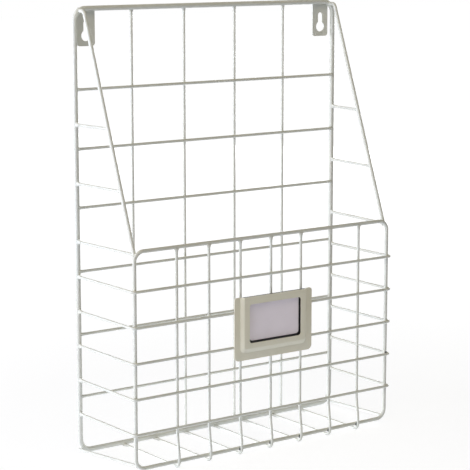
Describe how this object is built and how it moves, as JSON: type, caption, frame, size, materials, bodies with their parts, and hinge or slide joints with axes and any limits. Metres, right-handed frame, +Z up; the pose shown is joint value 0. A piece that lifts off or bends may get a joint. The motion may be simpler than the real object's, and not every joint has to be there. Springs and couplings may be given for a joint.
{
  "type": "letter rack",
  "caption": "Wall-hung wire letter rack: mesh back with keyhole hangers, open-topped front pocket, sloping side braces and a stamped label holder with a slide-in insert.",
  "frame": {"origin": "middle of the bounding box's footprint, at the underside of the base wires", "axes": "+Z up, +Y towards the wall, -Y the front of the pocket, +X to the right seen from the front"},
  "size_m": [0.323, 0.1074, 0.4409],
  "materials": {
    "frame_wire": "off-white powder coat, satin",
    "mesh_wire": "off-white powder coat, satin",
    "hanger": "off-white powder coat, satin",
    "holder": "off-white powder coat, satin",
    "board": "black, matt",
    "label": "pale lilac grey, matt"
  },
  "bodies": {
    "rack": {"back_frame": "frame_wire", "back_row_1": "mesh_wire", "back_row_2": "mesh_wire", "back_row_3": "mesh_wire", "back_row_4": "mesh_wire", "back_row_5": "mesh_wire", "back_row_6": "mesh_wire", "back_upright_1": "mesh_wire", "back_upright_2": "mesh_wire", "back_upright_3": "mesh_wire", "back_upright_4": "mesh_wire", "base_rung_left": "mesh_wire", "base_rung_right": "mesh_wire", "brace_left": "frame_wire", "brace_right": "frame_wire", "front_column_1": "mesh_wire", "front_column_2": "mesh_wire", "front_column_3": "mesh_wire", "front_column_4": "mesh_wire", "front_column_5": "mesh_wire", "front_column_6": "mesh_wire", "front_column_7": "mesh_wire", "front_frame": "frame_wire", "hanger_left": "hanger", "hanger_right": "hanger", "label_holder": "holder", "pocket_hoop_1": "mesh_wire", "pocket_hoop_2": "mesh_wire", "pocket_hoop_3": "mesh_wire", "pocket_hoop_4": "mesh_wire", "pocket_hoop_5": "mesh_wire", "side_rung_left_1": "mesh_wire", "side_rung_left_2": "mesh_wire", "side_rung_left_3": "mesh_wire", "side_rung_right_1": "mesh_wire", "side_rung_right_2": "mesh_wire", "side_rung_right_3": "mesh_wire"},
    "insert": {"insert_board": "board", "insert_label": "label"}
  },
  "joints": [
    {"name": "insert_slide", "type": "slide", "parent": "rack", "child": "insert", "axis": [0, 0, 1], "range_m": [0, 0.056]}
  ]
}
